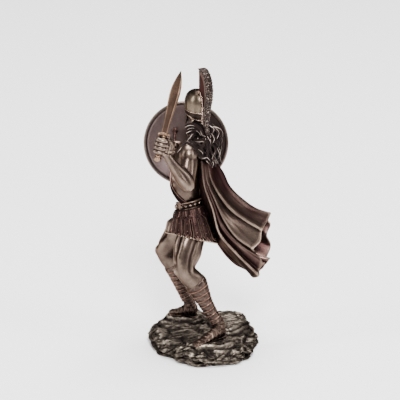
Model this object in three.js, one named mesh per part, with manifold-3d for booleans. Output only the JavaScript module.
// A cast figurine of a Greek warrior on a rock base: crested helmet, long hair, a cloak blown
// back, a raised sword in the left hand and a round shield on the right arm.
// Millimetres, +Z up. The figure faces -X. The origin is in the base's flat underside.
import * as THREE from 'three';
import { mergeVertices } from 'three/addons/utils/BufferGeometryUtils.js';
import Module from 'manifold-3d';

const wasm = await Module();
wasm.setup();

const v = (x, y, z) => new THREE.Vector3(x, y, z);
const up = v(0, 0, 1);
const { sin, cos, PI, hypot, min, max } = Math;
const turn = 2 * PI;
const mix = THREE.MathUtils.lerp;
const ramp = THREE.MathUtils.smoothstep;

// Gap left between two pieces that touch.
const gap = 0.3;
// Wider clearance round a foot, so that the rock's rough top stays off its sides.
const footClearance = 0.8;

// Joints and centres of the body.
const pelvis = v(-11, 0, 122);
const waist = v(-12.6, 0, 149);
const ribs = v(-14.6, 0, 161);
const chest = v(-14.6, 0, 176);
const neckBase = v(-8, 0, 204);
const head = v(-5.2, 2, 241.4);
const leftArm = {
  shoulder: v(-13.6, -24, 203),
  elbow: v(-13.8, -43, 175.5),
  wrist: v(-33.2, -44, 205.4),
  hand: v(-38.6, -44.5, 215.6),
};
const rightArm = {
  shoulder: v(2, 23, 201),
  elbow: v(2, 31.5, 174),
  wrist: v(-19, 32.5, 181),
  hand: v(-27.4, 32.5, 185.4),
};
const leftLeg = { hip: v(-8, -10, 120), knee: v(-16.8, -27, 86.5), ankle: v(14.6, -23, 30.5) };
const rightLeg = { hip: v(-16, 10, 120), knee: v(-35.4, 21, 86), ankle: v(-13.5, 24, 34) };
const leftFoot = { heel: v(19.5, -19, 0), toe: v(-7.5, -46, 0), sole: 15.2 };
const rightFoot = { heel: v(-6.6, 22.5, 0), toe: v(-33.4, 28.6, 0), sole: 18.4 };

// Directions that the pelvis, the chest and the head face.
const facing = (degrees) => v(-cos((degrees * PI) / 180), sin((degrees * PI) / 180), 0);
const hipsFront = facing(6);
const chestFront = facing(18);
const headFront = facing(60);
const leftFootFront = leftFoot.toe.clone().sub(leftFoot.heel).normalize();
const rightFootFront = rightFoot.toe.clone().sub(rightFoot.heel).normalize();

// Sword: a straight line from the pommel to the tip through the left fist.
const sword = {
  pommel: v(-41.8, -44.8, 202.8),
  tip: v(-20.2, -40, 286),
  roll: 24,
  pommelRadius: 3.4,
  gripRadius: 2.1,
  guardAt: 24,
  guardSpan: 6,
  guardDeep: 4,
  guardThick: 2.2,
  bladeThick: 2.6,
};

// Shield: a dish whose hollow side looks at -Y and a little upward.
const shield = {
  centre: v(-16.1, 38, 189.8),
  radius: 40.4,
  rimWide: 3,
  rimThick: 3.2,
  dish: 7,
  wall: 2.2,
  tilt: 10,
};

// Rock base: its plan's radii at even angles from +X, turning toward +Y.
const rock = {
  plan: [51.5, 52, 54, 55, 56, 54, 52, 53, 50, 48, 50, 53.5, 59.5, 58.5, 58, 51.5],
  reach: 55,
  sectors: 38,
};

// Basic solids

// Rings of equal count become one closed skin: quads between rings and a fan over each end.
function skin(rings) {
  const sides = rings[0].length;
  const points = rings.flat();
  const first = points.length;
  for (const ring of [rings[0], rings[rings.length - 1]]) {
    const middle = v(0, 0, 0);
    ring.forEach((p) => middle.addScaledVector(p, 1 / sides));
    points.push(middle);
  }
  const index = [];
  const last = (rings.length - 1) * sides;
  for (let j = 0; j < sides; j += 1) {
    const k = (j + 1) % sides;
    for (let i = 0; i < rings.length - 1; i += 1) {
      const a = i * sides;
      const b = a + sides;
      index.push(a + j, a + k, b + k, a + j, b + k, b + j);
    }
    index.push(first, k, j, first + 1, last + j, last + k);
  }
  const geometry = new THREE.BufferGeometry();
  const numbers = points.flatMap((p) => [p.x, p.y, p.z]);
  geometry.setAttribute('position', new THREE.Float32BufferAttribute(numbers, 3));
  geometry.setIndex(index);
  return geometry;
}

// Six times the enclosed volume, negative when the faces point in.
function volume(points, index) {
  let sum = 0;
  for (let i = 0; i < index.length; i += 3) {
    const [a, b, c] = [0, 1, 2].map((k) => v(...points.slice(3 * index[i + k], 3 * index[i + k] + 3)));
    sum += a.dot(b.cross(c));
  }
  return sum;
}

// A geometry as a solid with its faces pointing out.
function solid(geometry) {
  const bare = geometry.clone();
  bare.deleteAttribute('normal');
  bare.deleteAttribute('uv');
  const merged = mergeVertices(bare, 1e-4);
  const points = Float32Array.from(merged.attributes.position.array);
  const index = Uint32Array.from(merged.index.array);
  if (volume(points, index) < 0) {
    index.reverse();
  }
  return new wasm.Manifold(new wasm.Mesh({ numProp: 3, vertProperties: points, triVerts: index }));
}

const join = (parts) => parts.reduce((a, b) => a.add(b));

// A frame whose Z lies along one direction and whose X lies as near another as it can.
function frameAt(origin, zAxis, xHint) {
  const z = zAxis.clone().normalize();
  const y = z.clone().cross(xHint).normalize();
  const x = y.clone().cross(z);
  return new THREE.Matrix4().makeBasis(x, y, z).setPosition(origin);
}

// An ellipsoid with its third radius along a direction and its first toward a hint.
function lump(centre, radii, along = up, hint = v(1, 0, 0), sides = 7) {
  const ball = new THREE.SphereGeometry(1, sides, Math.ceil(sides * 0.6)).rotateX(PI / 2);
  ball.scale(...radii);
  return solid(ball.applyMatrix4(frameAt(centre, along, hint)));
}

// A limb: oval sections along a smooth line through stations [point, half across, half deep].
// Samples are [place along the line, scale of the section]; lean tips the sections' planes at the
// start and swings over to the other side by the end.
function limb(stations, front, { sides = 10, steps = 6, samples, lean = v(0, 0, 0) } = {}) {
  const line = new THREE.CatmullRomCurve3(stations.map((s) => s[0]), false, 'centripetal');
  const size = new THREE.CatmullRomCurve3(stations.map((s) => v(s[1], s[2], 0)), false, 'catmullrom');
  const places = samples ?? Array.from({ length: steps + 1 }, (_, i) => [i / steps, 1]);
  const rings = places.map(([t, scale]) => {
    const middle = line.getPoint(t);
    const half = size.getPoint(t);
    const normal = line.getTangent(t).addScaledVector(lean, 1 - 2.2 * t).normalize();
    const across = normal.clone().cross(front).normalize();
    const deep = across.clone().cross(normal);
    return Array.from({ length: sides }, (_, j) => {
      const a = (turn * j) / sides;
      return middle.clone()
        .addScaledVector(across, half.x * scale * cos(a))
        .addScaledVector(deep, half.y * scale * sin(a));
    });
  });
  return solid(skin(rings));
}

// An outline given as [x, y] points, pushed out to a thickness about its own plane.
function plate(outline, thick, matrix, smooth = false) {
  const points = outline.map(([x, y]) => new THREE.Vector2(x, y));
  const edge = smooth ? new THREE.SplineCurve([...points, points[0]]).getPoints(16) : points;
  const shape = new THREE.Shape(edge);
  const slab = new THREE.ExtrudeGeometry(shape, { depth: thick, bevelEnabled: false, curveSegments: 4 });
  return solid(slab.translate(0, 0, -thick / 2).applyMatrix4(matrix));
}

// Legs, greaves and sandals

// The greave's wrapped bands, how far along a leg they start and end, and how much of the count
// grows with the square of the way down, so that the bands get narrower.
const greave = { bands: 8, from: 0.467, to: 0.83, taper: 0.35 };

// How far along a leg a band starts: where (1 - taper) s + taper s^2 is its share of the bands.
function bandStart(i) {
  const { bands, from, to, taper } = greave;
  const even = 1 - taper;
  const s = (Math.sqrt(even * even + (4 * taper * i) / bands) - even) / (2 * taper);
  return mix(from, to, s);
}

// One leg: thigh, knee and shank in one line, where the greave's bands each flare to their lower
// edge.
function leg({ hip, knee, ankle }, front, size) {
  const shin = ankle.clone().sub(knee);
  const below = (t, forward) => knee.clone().addScaledVector(shin, t).addScaledVector(front, forward);
  const stations = [
    [hip, 11 * size, 13 * size],
    [hip.clone().lerp(knee, 0.5).addScaledVector(front, 2.2), 11.4 * size, 13 * size],
    [knee, 8.6 * size, 9.6 * size],
    [below(0.3, -1.8), 8.2 * size, 9.2 * size],
    [below(0.62, -0.8), 5.8 * size, 6.5 * size],
    [below(0.97, 0), 4.4 * size, 5 * size],
    [below(1.12, 1), 4.6 * size, 5.4 * size],
  ];
  const samples = [[0, 1], [0.1, 1], [0.2, 1], [0.3, 1], [0.38, 0.96]];
  for (let i = 0; i < greave.bands; i += 1) {
    samples.push([bandStart(i), 0.94], [mix(bandStart(i), bandStart(i + 1), 0.93), 1.07]);
  }
  samples.push([1, 0.9]);
  const kneecap = lump(
    knee.clone().addScaledVector(front, 5 * size), [4.2 * size, 4.6 * size, 6 * size], shin, front);
  return join([limb(stations, front, { samples, lean: v(-0.2, 0, 0.1) }), kneecap]);
}

const soleThick = 1.6;

// The outline of a sandal's sole from heel to toe, as [forward, sideways] points.
function soleOutline(length) {
  return [[-1, 0], [0.5, -4.6], [length * 0.35, -4.2], [length * 0.72, -6.2], [length * 0.95, -4.4],
    [length, 0], [length * 0.93, 4.2], [length * 0.7, 5.6], [length * 0.35, 3.8], [0.5, 4.6]];
}

// The sole slab, grown by an allowance when it is used to cut the rock.
function soleSlab(foot, front, grow = 0, thick = soleThick, drop = 0) {
  const length = foot.toe.distanceTo(foot.heel);
  const matrix = frameAt(v(foot.heel.x, foot.heel.y, foot.sole + thick / 2 - drop), up, front);
  const outline = soleOutline(length).map(([x, y]) => [x * (1 + grow / 14) - grow, y * (1 + grow / 4)]);
  return plate(outline, thick, matrix, true);
}

// A foot: heel, instep and toes on the sole.
function sandal(foot, front) {
  const floor = foot.sole + soleThick - 0.4;
  const on = (t, height) => foot.heel.clone().lerp(foot.toe, t).setZ(floor + height);
  const side = up.clone().cross(front);
  const body = limb(
    [[on(0.02, 4), 3.2, 4.2], [on(0.16, 7), 4.8, 7.2], [on(0.42, 5.4), 4.8, 6], [on(0.72, 2.8), 5, 3.2],
      [on(0.86, 2.3), 4.6, 2.4]],
    up, { sides: 8, steps: 5 });
  const toes = [-2, -1, 0, 1, 2].map((i) => {
    const place = on(0.93 - 0.02 * Math.abs(i - 0.5), 1.6).addScaledVector(side, 1.95 * i);
    return lump(place, [1.2, 1.25, 3.4], front, up, 4);
  });
  return join([body, soleSlab(foot, front), ...toes]);
}

// Torso and neck

function torso() {
  const trunk = limb(
    [[pelvis.clone().setZ(108), 15, 11], [pelvis, 18, 12.5], [v(-11.6, 0, 137), 16, 11], [waist, 14.6, 10.4],
      [ribs, 17, 13], [chest, 20.5, 15.2], [v(-12.4, 0, 189), 22, 14.2], [v(-9.8, 0, 199), 19, 10.4],
      [neckBase, 11, 7.6], [v(-6.6, 1, 214), 6.6, 6.8], [v(-5.6, 2, 226), 6.4, 6.6]],
    chestFront, { sides: 12, steps: 11 });
  const right = chestFront.clone().cross(up);
  const at = (forward, sideways, z) => chest.clone().setZ(z)
    .addScaledVector(chestFront, forward).addScaledVector(right, sideways);
  const muscles = [];
  for (const s of [-1, 1]) {
    muscles.push(lump(at(10.4, 9 * s, 184.5), [4.6, 10.2, 8], up, chestFront));
    muscles.push(lump(at(-9, 10.6 * s, 187), [5.4, 8.4, 9], up, chestFront));
    muscles.push(lump(at(-4.5, 16 * s, 174), [7.4, 5, 13], up, chestFront));
    muscles.push(lump(at(9.6, 4 * s, 164), [3, 4, 9], up, chestFront, 6));
  }
  return join([trunk, ...muscles]);
}

// Arms and fists

function arm({ shoulder, elbow, wrist }, front) {
  const upper = elbow.clone().sub(shoulder);
  const fore = wrist.clone().sub(elbow);
  const along = (t) => elbow.clone().addScaledVector(fore, t);
  return join([
    limb([[shoulder, 8, 8], [shoulder.clone().addScaledVector(upper, 0.5), 6.6, 7.6],
      [elbow.clone().addScaledVector(upper, 0.06), 5.6, 6]], front, { sides: 8, steps: 4 }),
    limb([[along(-0.12), 4.6, 4.6], [along(0.02), 6.4, 6.6], [along(0.3), 6.9, 7.6], [along(0.68), 5.2, 5.6],
      [wrist, 3.8, 4.2], [along(1.12), 4, 4.4]], front, { sides: 9, steps: 6 }),
    lump(shoulder.clone().addScaledVector(upper, 0.1), [9, 8.6, 10.4], upper, front, 9),
  ]);
}

// A closed fist round a bar: the four fingers are swellings along it, and the thumb lies on top.
function fist(centre, bar, wrist, pitch) {
  const axis = bar.clone().normalize();
  const toWrist = wrist.clone().sub(centre);
  const back = toWrist.clone().addScaledVector(axis, -toWrist.dot(axis)).normalize();
  const end = (side) => centre.clone().addScaledVector(axis, 2 * side * pitch).addScaledVector(back, 1.6);
  const fingers = [0, 1, 2, 3].flatMap((i) => [[i / 4 + 0.01, 0.8], [(i + 0.5) / 4, 1]]);
  const palm = centre.clone().addScaledVector(back, 4.6);
  const thumbRoot = palm.clone().addScaledVector(axis, pitch * 1.3);
  const thumbTip = centre.clone().addScaledVector(axis, pitch * 2).addScaledVector(back, -5.4);
  const thumbBend = thumbRoot.clone().lerp(thumbTip, 0.5).addScaledVector(axis, 1.6);
  return join([
    limb([[end(-1), 5.6, 7.2], [end(1), 6, 7.8]], back, { sides: 9, samples: [...fingers, [1, 0.8]] }),
    lump(palm.lerp(wrist, 0.35), [4.6, 5.2, 8], toWrist, axis),
    limb([[thumbRoot, 2.6, 2.6], [thumbBend, 2.3, 2.3], [thumbTip, 1.6, 1.6]], axis, { sides: 6, steps: 3 }),
  ]);
}

// Helmet, face and crest, in a frame at the head's centre: X forward, Y left, Z up

const helmet = { wide: 11, long: 13.6, dome: 13.4, nape: -20 };

// The crest's outlines as [distance behind the head's centre, height above it].
const crestOuter = [[6.4, 36], [10.6, 36.6], [16, 35], [21.2, 29.4], [24.2, 20.4], [24, 11], [21.6, 2],
  [18.4, -9], [17.6, -17.4], [20, -26]];
const crestMiddle = [[6.4, 35], [10.4, 33.8], [14.6, 30], [17.4, 22.5], [18.2, 12.5], [17, 2], [14.8, -8.5],
  [14.4, -17], [16.8, -24.5]];
const crestInner = [[12, -16], [12.6, -6], [12, 3], [9.6, 8], [6.2, 11]];
const crestThick = 4.4;
const plumeThick = 6;
const tufts = 9;

function headWithHelmet() {
  const frame = frameAt(head, up, headFront);
  const profile = [[0, helmet.dome], [5, 12.2], [8.6, 8.8], [10.6, 3.4], [11, -2], [10.8, -7.6], [11.8, -8.2],
    [11.8, -10], [10.6, -10.6], [10, -16], [10.6, helmet.nape], [8.4, helmet.nape], [0, helmet.nape]];
  const lathe = new THREE.LatheGeometry(profile.map(([r, z]) => new THREE.Vector2(r, z)), 16).rotateX(PI / 2);
  lathe.scale(helmet.long / helmet.wide, 1, 1);
  let shell = solid(lathe.applyMatrix4(frame));
  const box = (size, place) => solid(
    new THREE.BoxGeometry(...size).translate(...place).applyMatrix4(frame));
  const cheekGap = box([9, 3.4, 13], [13.2, 0, -15.5]);
  const eyes = [-1, 1].map((s) => box([6, 5.4, 3.4], [13.6, 4 * s, -7]));
  shell = shell.subtract(join([cheekGap, ...eyes]));
  const place = (x, y, z) => v(x, y, z).applyMatrix4(frame);
  const face = lump(place(2.4, 0, -10), [8.6, 8, 12], up, headFront, 9);
  const nose = lump(place(10.8, 0, -8.4), [2.6, 1.6, 3.6], up, headFront, 5);
  const chin = lump(place(8, 0, -19.4), [4, 4, 3.4], up, headFront, 6);
  return join([shell, face, nose, chin]);
}

function crest() {
  const left = up.clone().cross(headFront);
  // Outline X runs backward from the head's centre and outline Y runs up.
  const upright = frameAt(head, left, headFront.clone().negate());
  const holder = plate([...crestMiddle, ...crestInner], crestThick, upright);
  const along = (outline) => new THREE.CatmullRomCurve3(outline.map(([x, y]) => v(x, y, 0)));
  const outer = along(crestOuter);
  const inner = along(crestMiddle);
  // The plume's sections start inside the holder, and swell and pinch, once for each tuft of
  // horsehair.
  const rings = [];
  for (let i = 0; i <= 2 * tufts; i += 1) {
    const t = i / (2 * tufts);
    const swell = i % 2 ? 1 : 0.72;
    const half = (plumeThick / 2) * (1 - 0.35 * t * t) * swell;
    const from = inner.getPoint(t);
    const to = outer.getPoint(t).lerp(from, 1 - (i % 2 ? 1.04 : 0.94));
    const section = [[-0.2, -1], [0.5, -1], [0.92, -0.6], [1, 0], [0.92, 0.6], [0.5, 1], [-0.2, 1]];
    rings.push(section.map(([share, side]) => from.clone().lerp(to, share).setZ(side * half)
      .applyMatrix4(upright)));
  }
  return join([holder, solid(skin(rings))]);
}

// Hair: a mass at the nape and shoulders with wavy locks over it

const lockSides = 4;
const lockSteps = 6;

// A lock from a root to an end, bowed outward and waved sideways.
function lock(root, end, bow, wave, radius, waves) {
  const line = end.clone().sub(root);
  const sideways = line.clone().cross(bow).normalize();
  const stations = Array.from({ length: lockSteps + 1 }, (_, i) => {
    const t = i / lockSteps;
    const point = root.clone().addScaledVector(line, t)
      .addScaledVector(bow, sin(PI * t))
      .addScaledVector(sideways, wave * sin(turn * waves * t));
    const r = radius * (1 - 0.75 * t * t);
    return [point, r, r];
  });
  return limb(stations, bow.clone().normalize(), { sides: lockSides, steps: lockSteps });
}

function hair() {
  const parts = [
    lump(v(-2, -4, 219), [10, 9, 9], up, headFront),
    lump(v(4, -6, 207), [9, 12, 12], up, chestFront),
    lump(v(8, 4, 200), [6.5, 9, 15], v(0.2, 0, -1), chestFront),
  ];
  // One strand forward over the chest, locks swept back over the near shoulder, and locks down
  // the back.
  parts.push(lock(v(-5, -11, 216), v(-24, -27, 201), v(-1, -7, 1), 1.4, 2.4, 1.25));
  const nearLocks = 4;
  for (let i = 0; i < nearLocks; i += 1) {
    const t = i / (nearLocks - 1);
    const root = v(mix(-12, 3, t), mix(-7, -12, t), mix(221, 222, t));
    const end = v(mix(2, 14, t), mix(-27, -18, t), mix(197, 185, t));
    parts.push(lock(root, end, v(1, -8, 4), 1.6, 2.7, 1.25));
  }
  const backLocks = 5;
  for (let i = 0; i < backLocks; i += 1) {
    const t = i / (backLocks - 1);
    const root = v(mix(0, 9, t), mix(-11, 6, t), 221);
    const end = v(mix(10, 16, t), mix(-19, 12, t), mix(185, 189, t));
    parts.push(lock(root, end, v(6, -3, 1), 1.7, 2.9, 1.5));
  }
  return join(parts);
}

// Belt, lappets, kilt straps and tunic

const belt = {
  half: v(11.4, 15.6, 0),
  height: 7.2,
  thick: 1.2,
  centre: v(-11.7, 0, 142.9),
  slope: 0.3,
  nearLift: 4,
};
const kilt = {
  centre: v(-7, -1, 111),
  half: v(21, 26, 0),
  flap: { reach: 9, at: 2.7, wide: 0.4 },
  nearLift: 8.5,
  rearDrop: 4,
  straps: 15,
  strapThick: 1.8,
};

// A point on the oval between the belt (t = 0) and the kilt's hem (t = 1), at an angle round it.
// Both rise toward the raised left hip, and the hem hangs lower behind. A flap of it is flung out
// over the right thigh.
function onKilt(angle, t, out = 0) {
  const share = max(0, t);
  const { reach, at, wide } = kilt.flap;
  const flung = reach * ramp(share, 0.1, 0.65) * Math.exp(-(((angle - at) / wide) ** 2));
  const half = belt.half.clone().lerp(kilt.half, share ** 0.8).add(v(flung, flung, 0));
  const middle = belt.centre.clone().setZ(belt.centre.z - belt.height / 2).lerp(kilt.centre, t);
  const rise = belt.slope * belt.half.x * cos(angle) * (1 - t)
    - mix(belt.nearLift, kilt.nearLift, share) * sin(angle) - kilt.rearDrop * cos(angle) * share;
  return middle.add(v((half.x + out) * cos(angle), (half.y + out) * sin(angle), rise));
}

// A ring round the oval at t. Relief raises each strap's middle, scallop lets its rounded end
// hang lower, and rise lifts the whole ring.
function kiltRing(t, out, { relief = 0, scallop = 0, rise = 0 } = {}) {
  const corners = [[0.04, 0], [0.11, 1], [0.89, 1], [0.96, 0]];
  return Array.from({ length: kilt.straps }, (_, i) => corners.map(([share, onStrap]) => {
    const a = (turn * (i + share)) / kilt.straps;
    return onKilt(a, t + scallop * onStrap, out + relief * onStrap).add(v(0, 0, rise));
  })).flat();
}

// One skin from the belt down: belt, short lappets, long straps, and the tunic's hem below them.
function beltAndKilt() {
  const { strapThick } = kilt;
  const rings = [
    kiltRing(0, -1.5, { rise: belt.height }),
    kiltRing(0, belt.thick, { rise: belt.height }),
    kiltRing(0, belt.thick),
    kiltRing(0.02, 0.7),
    kiltRing(0.22, 1.2, { relief: 1.2, scallop: 0.08 }),
    kiltRing(0.22, 0.2, { scallop: 0.08 }),
    kiltRing(0.96, 0.4, { relief: strapThick, scallop: 0.08 }),
    kiltRing(0.97, -0.6, { scallop: 0.08 }),
    kiltRing(1.12, -1.4, { relief: -0.8 }),
    kiltRing(1.1, -4),
  ];
  const buckle = lump(onKilt(PI, 0, belt.thick + 0.6).add(v(0, 0, belt.height / 2)), [1.8, 5, 4.8]);
  return join([solid(skin(rings)), buckle]);
}

// Cloak: a thick sheet laid through lines that run from the shoulders to the hem

// The lines in turn from the far edge to the near one: crests of the folds and the grooves
// between them.
const cloakLines = [
  [[6.6, 6, 171.9], [10.5, 9, 149.5], [17.4, 11, 128.2], [28.7, 10, 110.1],
    [42.2, 8, 94.1], [59.6, 4, 83.9]],
  [[7.5, 12, 171.8], [13.5, 15, 151.4], [21.8, 17, 132.3], [33.3, 17, 115.8],
    [46.9, 16, 101.6], [64.6, 12, 95.1]],
  [[8.5, 15, 173.8], [15.4, 17, 156.5], [23.1, 18, 139.9], [33.7, 18, 125.5],
    [45.9, 16, 113.4], [60.7, 11, 106.1]],
  [[8.9, 14, 177.1], [16.7, 15, 161.4], [24.5, 16, 145.6], [35.9, 17, 132.5],
    [49.6, 17, 122.7], [64.3, 16, 114.9]],
  [[8.9, 11, 181.2], [17.1, 10, 167.2], [24.5, 10, 152.3], [35, 10, 139.7],
    [48.4, 11, 130.1], [62.1, 12, 121]],
  [[8.4, 6, 185.9], [18.1, 5, 172.9], [25.2, 4, 158.2], [36.5, 4, 146.1],
    [49.6, 4, 136.3], [64.3, 6, 130.2]],
  [[6.9, 2, 186.6], [14.3, 0, 172.2], [21.7, -1, 157], [32.9, -1.5, 144.3],
    [46.4, -1.5, 134], [61.6, 0, 126.5]],
  [[5.3, -3.6, 187.8], [10.3, -5.6, 171.6], [18, -6.6, 155.8], [29.3, -7, 142.3],
    [43, -7.4, 131.6], [58.1, -6, 122.8]],
  [[4.2, -9, 189.1], [7.5, -11.5, 171.9], [15.5, -13, 156], [26.7, -14, 142.2],
    [40.7, -15, 131.3], [55.8, -14, 121.6]],
  [[3.5, -9.6, 189.3], [6.3, -11.4, 171.1], [13.6, -12, 153.8], [24.7, -12.6, 138.9],
    [39.2, -13, 127.5], [55.1, -12, 117.6]],
  [[2, -11, 189.8], [5, -14, 171.2], [12.4, -15.5, 153.3], [22.3, -16.5, 136.6],
    [36, -17, 122], [53.8, -16, 110.3]],
  [[0.4, -13, 190.5], [3.6, -16.5, 171.2], [11.3, -18.5, 152.6], [19.9, -19.5, 134],
    [31.3, -20.5, 117.2], [47.6, -19.5, 104.5]],
  [[0, -13.2, 190.6], [3.2, -16, 170.1], [10.9, -17, 150.2], [19.1, -17.6, 130.5],
    [31.7, -18, 112.8], [48.8, -17, 100]],
  [[-0.6, -14.5, 191], [2.5, -18, 169.4], [10.2, -20, 148.5], [17.8, -20.5, 127],
    [33.8, -21, 108.4], [56.3, -19, 90.3]],
  [[-1.1, -14.6, 191.1], [1.9, -17.4, 167.9], [9.5, -18.6, 145.3], [16.6, -18.8, 122.1],
    [32.2, -18.8, 102.5], [52.9, -16.5, 81.5]],
  [[-1.5, -16, 191.5], [1.4, -20, 167.9], [9, -22, 144.6], [15.7, -22.5, 120.3],
    [31.8, -22.5, 100.1], [52.7, -21, 77.5]],
  [[-1.9, -15, 191.2], [0.9, -18, 166.3], [8.6, -18, 141.3], [15, -17, 115.4],
    [30.4, -16, 94.1], [47.7, -14, 73.8]],
  [[-3.8, -13, 190.5], [-2.4, -11, 161.9], [3.6, -7, 132.9], [13, -6, 105.9],
    [30.9, -6, 84.6], [56.4, -8, 80.4]],
  [[-1.9, -10, 189.5], [0, -7, 161.7], [6.1, -3, 134], [17.8, -1, 109.2],
    [39.3, -1, 95.1], [64, -2, 88.2]],
].map((line) => line.map((place) => v(...place)));
const cloak = { thick: 2.2, along: 8, across: 36 };

// A point of the cloak, s across from the far edge and t down from the shoulders.
function cloakPoint(s, t) {
  const across = cloakLines.map((line) => new THREE.CatmullRomCurve3(line, false, 'catmullrom').getPoint(t));
  return new THREE.CatmullRomCurve3(across, false, 'catmullrom').getPoint(s);
}

function cloakSolid() {
  const rings = [];
  for (let i = 0; i <= cloak.along; i += 1) {
    const t = i / cloak.along;
    const upper = [];
    const lower = [];
    for (let j = 0; j <= cloak.across; j += 1) {
      const s = j / cloak.across;
      const p = cloakPoint(s, t);
      const ds = cloakPoint(min(1, s + 0.01), t).sub(cloakPoint(max(0, s - 0.01), t));
      const dt = cloakPoint(s, min(1, t + 0.01)).sub(cloakPoint(s, max(0, t - 0.01)));
      const normal = ds.cross(dt).normalize();
      upper.push(p.clone().addScaledVector(normal, cloak.thick / 2));
      lower.push(p.clone().addScaledVector(normal, -cloak.thick / 2));
    }
    rings.push([...upper, ...lower.reverse()]);
  }
  return solid(sheetSkin(rings));
}

// Like skin, but each end ring is a thin strip, closed by a ladder of quads across it.
function sheetSkin(rings) {
  const sides = rings[0].length;
  const geometry = skin(rings);
  const index = Array.from(geometry.index.array).filter((_, i, all) => {
    const first = 3 * Math.floor(i / 3);
    return max(all[first], all[first + 1], all[first + 2]) < rings.length * sides;
  });
  const last = (rings.length - 1) * sides;
  for (let j = 0; j < sides / 2 - 1; j += 1) {
    const k = sides - 1 - j;
    index.push(j, k, j + 1, j + 1, k, k - 1);
    index.push(last + j, last + j + 1, last + k, last + j + 1, last + k - 1, last + k);
  }
  geometry.setIndex(index);
  return geometry;
}

// Baldric across the chest, from the right shoulder to the left hip.
const baldricHalf = [2.6, 1.3];
// How it goes down the trunk: [height, half across, half deep] of the oval that it lies on.
const baldricOvals = [[197, 20.8, 12.2], [189, 22.8, 15.6], [182, 22.4, 17], [174, 21, 16.6], [166, 19, 15],
  [159, 17.2, 13.6], [151, 15.8, 12]];

function baldric() {
  const right = chestFront.clone().cross(up);
  const stations = baldricOvals.map(([z, wide, deep], i) => {
    const a = mix(0.62, -0.42, i / (baldricOvals.length - 1)) * PI;
    const middle = v(-14.9 + 0.0057 * (z - 169) ** 2, 0, z);
    const point = middle.addScaledVector(right, wide * sin(a)).addScaledVector(chestFront, deep * cos(a));
    return [point, ...baldricHalf];
  });
  return limb(stations, v(0, 0.2, 1), { sides: 4, steps: 8 });
}

// Sword

const swordLine = sword.tip.clone().sub(sword.pommel);
const swordLength = swordLine.length();

// Half widths of the leaf-shaped blade as [distance from the pommel, half width].
const bladeHalf = [[25, 3.3], [36, 3.4], [47, 4.2], [57, 5.2], [64, 5.6], [71, 5], [78.5, 3.2],
  [swordLength, 0.3]];

// Grow fattens every section, to cut the fist clear of the grip.
function swordSolid(grow = 0) {
  const rolled = v(1, 0, 0).applyAxisAngle(swordLine.clone().normalize(), (sword.roll * PI) / 180);
  const frame = frameAt(sword.pommel, swordLine, rolled);
  const rings = bladeHalf.map(([z, half]) => {
    const thick = sword.bladeThick * 0.5 * min(1, half / 3);
    return [[1, 0], [0.12, 1], [-0.12, 1], [-1, 0], [-0.12, -1], [0.12, -1]]
      .map(([x, y]) => v(x * (half + grow), y * (thick + grow), z));
  });
  const blade = skin(rings);
  const { guardAt, guardSpan, guardDeep, guardThick } = sword;
  const radius = sword.gripRadius + grow;
  const profile = [[0, 0], [radius, 0], [radius + 0.3, guardAt / 2], [radius, guardAt], [0, guardAt]]
    .map(([r, z]) => new THREE.Vector2(r, z));
  const grip = new THREE.LatheGeometry(profile, 8).rotateX(PI / 2);
  const guard = new THREE.BoxGeometry(2 * (guardSpan + grow), guardDeep + 2 * grow, guardThick + 2 * grow);
  const pommel = new THREE.SphereGeometry(sword.pommelRadius + grow, 8, 6);
  const parts = [blade, grip, guard.translate(0, 0, guardAt), pommel];
  return join(parts.map((geometry) => solid(geometry.applyMatrix4(frame))));
}

// Shield

// The dish's profile is turned about its axis; grow fattens it to cut the arm clear.
function shieldSolid(grow = 0) {
  const { radius, rimWide, rimThick, dish, wall } = shield;
  const inner = radius - rimWide;
  const bowl = (r, depth) => depth * (1 - (r / inner) ** 2);
  const radii = [0, 0.4, 0.72, 0.92].map((share) => share * inner);
  const front = radii.map((r) => [r, -bowl(r, dish) + grow]);
  const back = [...radii].reverse().map((r) => [r, -bowl(r, dish) - wall - grow]);
  const rim = [[inner, grow], [inner + 0.4, rimThick / 2 + grow], [radius - 0.6, rimThick / 2 + grow],
    [radius + grow, 0.4], [radius + grow, -rimThick / 2 - grow], [inner, -wall - grow]];
  const profile = [...front, ...rim, ...back].map(([r, z]) => new THREE.Vector2(r, z));
  const lathe = new THREE.LatheGeometry(profile, 28).rotateX(PI / 2);
  const hollowSide = v(0, -cos((shield.tilt * PI) / 180), sin((shield.tilt * PI) / 180));
  const frame = frameAt(shield.centre, hollowSide, v(1, 0, 0));
  return solid(lathe.applyMatrix4(frame));
}

// Rock base

// Rises to 1 inside an oval about (x0, y0) and falls to 0 past its edge.
function mound(x, y, x0, y0, halfX, halfY, soft = 0.4) {
  return ramp(-hypot((x - x0) / halfX, (y - y0) / halfY), -1 - soft, -1 + soft * 0.4);
}

// Layered stone: a height is flattened into ledges, each with a short steep edge.
function ledged(height, thick) {
  const layer = Math.floor(height / thick);
  return thick * (layer + ramp(height / thick - layer, 0.55, 1));
}

// Height of the rock's top over the plan: a shelf of tilted layers that drops toward +X, a stand
// for each foot and a boulder behind the left heel.
function rockHeight(x, y) {
  const fall = 3.5 * (hypot(x, y) / rock.reach) ** 2 + 4.5 * ramp(x, 36, 46);
  const shelf = ledged(14.5 - fall + 2.4 * sin(x * 0.11 - y * 0.07) + 1.6 * sin(x * 0.07 + y * 0.19), 3.6);
  const leftStand = 15.8 * mound(x, y, 6, -31, 25, 17);
  const rightStand = 18.8 * mound(x, y, -19.4, 26, 19, 10.5, 0.6);
  const boulder = 18.8 * mound(x, y, 23.5, 16, 20, 24, 0.5);
  const rough = 0.7 * sin(x * 0.45 + y * 0.3) * cos(y * 0.5 - x * 0.2);
  return max(leftStand, rightStand, boulder, shelf) + rough;
}

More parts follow.
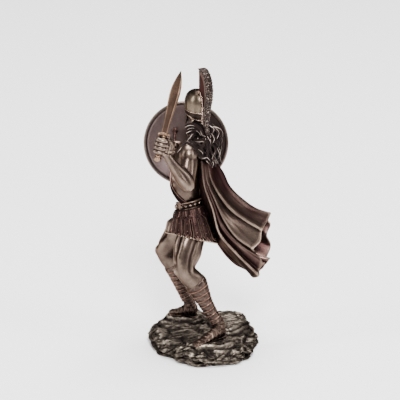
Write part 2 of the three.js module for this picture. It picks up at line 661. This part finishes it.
// The plan's radius at an angle: eased from each radius to the next, with small lobes.
function rockRadius(a) {
  const { plan } = rock;
  const at = (a / turn) * plan.length;
  const i = Math.floor(at);
  const share = (1 - cos(PI * (at - i))) / 2;
  return mix(plan[i % plan.length], plan[(i + 1) % plan.length], share) * (1 + 0.014 * sin(9 * a));
}

function rockSolid() {
  const rings = [];
  const ledges = [[0.94, 0], [0.99, 0.1], [1, 0.26], [0.965, 0.38], [0.985, 0.5], [0.99, 0.72],
    [0.95, 0.88], [0.87, 1]];
  const top = ledges[ledges.length - 1][0];
  const inner = 7;
  const inward = Array.from({ length: inner }, (_, i) => [top * (1 - (i + 1) / (inner + 1)), 1]);
  for (const [share, rise] of [...ledges, ...inward]) {
    rings.push(Array.from({ length: rock.sectors }, (_, j) => {
      const a = (turn * j) / rock.sectors;
      const edge = rise > 0 && rise < 1 ? 1 + 0.03 * sin(7 * a + 9 * rise) : 1;
      const r = rockRadius(a) * share * edge;
      const x = r * cos(a);
      const y = r * sin(a);
      return v(x, y, rise * rockHeight(x, y));
    }));
  }
  return solid(skin(rings));
}

// Assembly

// Edges of the figure's casting shorter than this are drawn together, and slivers on every piece.
const shortestEdge = 0.8;
const sliver = 0.02;

function hero() {
  const body = join([
    leg(leftLeg, hipsFront.clone().lerp(leftFootFront, 0.5).normalize(), 1),
    leg(rightLeg, hipsFront, 0.95),
    sandal(leftFoot, leftFootFront),
    sandal(rightFoot, rightFootFront),
    torso(),
    arm(leftArm, v(0.6, 0, 0.8)),
    arm(rightArm, v(0, 0.4, 1)),
    fist(leftArm.hand, swordLine, leftArm.wrist, 3.8),
    fist(rightArm.hand, v(0.05, 0, 1), rightArm.wrist, 3.4),
    baldric(),
    beltAndKilt(),
    headWithHelmet(),
    crest(),
    hair(),
    cloakSolid(),
  ]);
  return solid(drawTogether(body, shortestEdge)).subtract(swordSolid(gap)).subtract(shieldSolid(gap));
}

function rockBase() {
  const clearance = 30;
  const cuts = [[leftFoot, leftFootFront], [rightFoot, rightFootFront]]
    .map(([foot, front]) => soleSlab(foot, front, footClearance, clearance, gap));
  return rockSolid().subtract(join(cuts));
}

// The triangles of the skin that encloses the most: hollows sealed inside the casting are filled.
function outerSkin(points, index) {
  const owner = Uint32Array.from({ length: points.length / 3 }, (_, i) => i);
  const root = (i) => {
    while (owner[i] !== i) {
      owner[i] = owner[owner[i]];
      i = owner[i];
    }
    return i;
  };
  for (let i = 0; i < index.length; i += 3) {
    owner[root(index[i + 1])] = root(index[i]);
    owner[root(index[i + 2])] = root(index[i]);
  }
  const skins = new Map();
  for (let i = 0; i < index.length; i += 3) {
    const key = root(index[i]);
    skins.set(key, skins.get(key) ?? []);
    skins.get(key).push(index[i], index[i + 1], index[i + 2]);
  }
  return [...skins.values()].sort((a, b) => volume(points, b) - volume(points, a))[0];
}

// Draws edges shorter than a limit together, where the skin stays closed and no face turns over:
// joining and cutting leave slivers along every seam.
function drawTogether(manifold, shortest) {
  const { vertProperties, triVerts } = manifold.getMesh();
  const points = Array.from(vertProperties);
  const index = outerSkin(points, Array.from(triVerts));
  const spots = Array.from({ length: points.length / 3 }, (_, i) => v(...points.slice(3 * i, 3 * i + 3)));
  const faces = Array.from({ length: index.length / 3 }, (_, i) => index.slice(3 * i, 3 * i + 3));
  const around = spots.map(() => new Set());
  faces.forEach((face, i) => face.forEach((p) => around[p].add(i)));
  const neighbours = (p) => new Set([...around[p]].flatMap((i) => faces[i]).filter((q) => q !== p));
  const normal = (face, moved, to) => {
    const [a, b, c] = face.map((p) => (moved.includes(p) ? to : spots[p]));
    return b.clone().sub(a).cross(c.clone().sub(a));
  };
  const turnsOver = (a, b, to) => [...around[a], ...around[b]].some((i) => {
    const face = faces[i];
    if (face.includes(a) && face.includes(b)) {
      return false;
    }
    const before = normal(face, [], to);
    const after = normal(face, [a, b], to);
    return after.dot(before) < 0.3 * after.length() * before.length() || after.length() < 1e-6;
  });
  let drawn = true;
  while (drawn) {
    drawn = false;
    for (let i = 0; i < faces.length; i += 1) {
      for (let k = 0; faces[i] && k < 3; k += 1) {
        const a = faces[i][k];
        const b = faces[i][(k + 1) % 3];
        const middle = spots[a].clone().lerp(spots[b], 0.5);
        const other = neighbours(b);
        const shared = [...neighbours(a)].filter((p) => other.has(p));
        if (spots[a].distanceTo(spots[b]) < shortest && shared.length === 2 && !turnsOver(a, b, middle)) {
          spots[a] = middle;
          for (const f of around[b]) {
            if (faces[f].includes(a)) {
              faces[f].forEach((p) => around[p].delete(f));
              faces[f] = null;
            } else {
              faces[f] = faces[f].map((p) => (p === b ? a : p));
              around[a].add(f);
            }
          }
          around[b] = new Set();
          drawn = true;
        }
      }
    }
  }
  const geometry = new THREE.BufferGeometry();
  const numbers = spots.flatMap((p) => [p.x, p.y, p.z]);
  geometry.setAttribute('position', new THREE.Float32BufferAttribute(numbers, 3));
  geometry.setIndex(faces.filter((face) => face).flat());
  return geometry;
}

function mesh(name, manifold, material) {
  const geometry = drawTogether(manifold, sliver);
  geometry.computeVertexNormals();
  const part = new THREE.Mesh(geometry, new THREE.MeshStandardMaterial(material));
  part.name = name;
  return part;
}

const figurine = new THREE.Group();
figurine.add(mesh('rock_base', rockBase(), { color: '#4a423c', roughness: 0.6, metalness: 0.6 }));
figurine.add(mesh('hero', hero(), { color: '#7d6a5c', roughness: 0.38, metalness: 0.85 }));
figurine.add(mesh('shield', shieldSolid(), { color: '#7c6c6c', roughness: 0.35, metalness: 0.85 }));
figurine.add(mesh('sword', swordSolid(), { color: '#6d5748', roughness: 0.35, metalness: 0.85 }));

export default figurine;
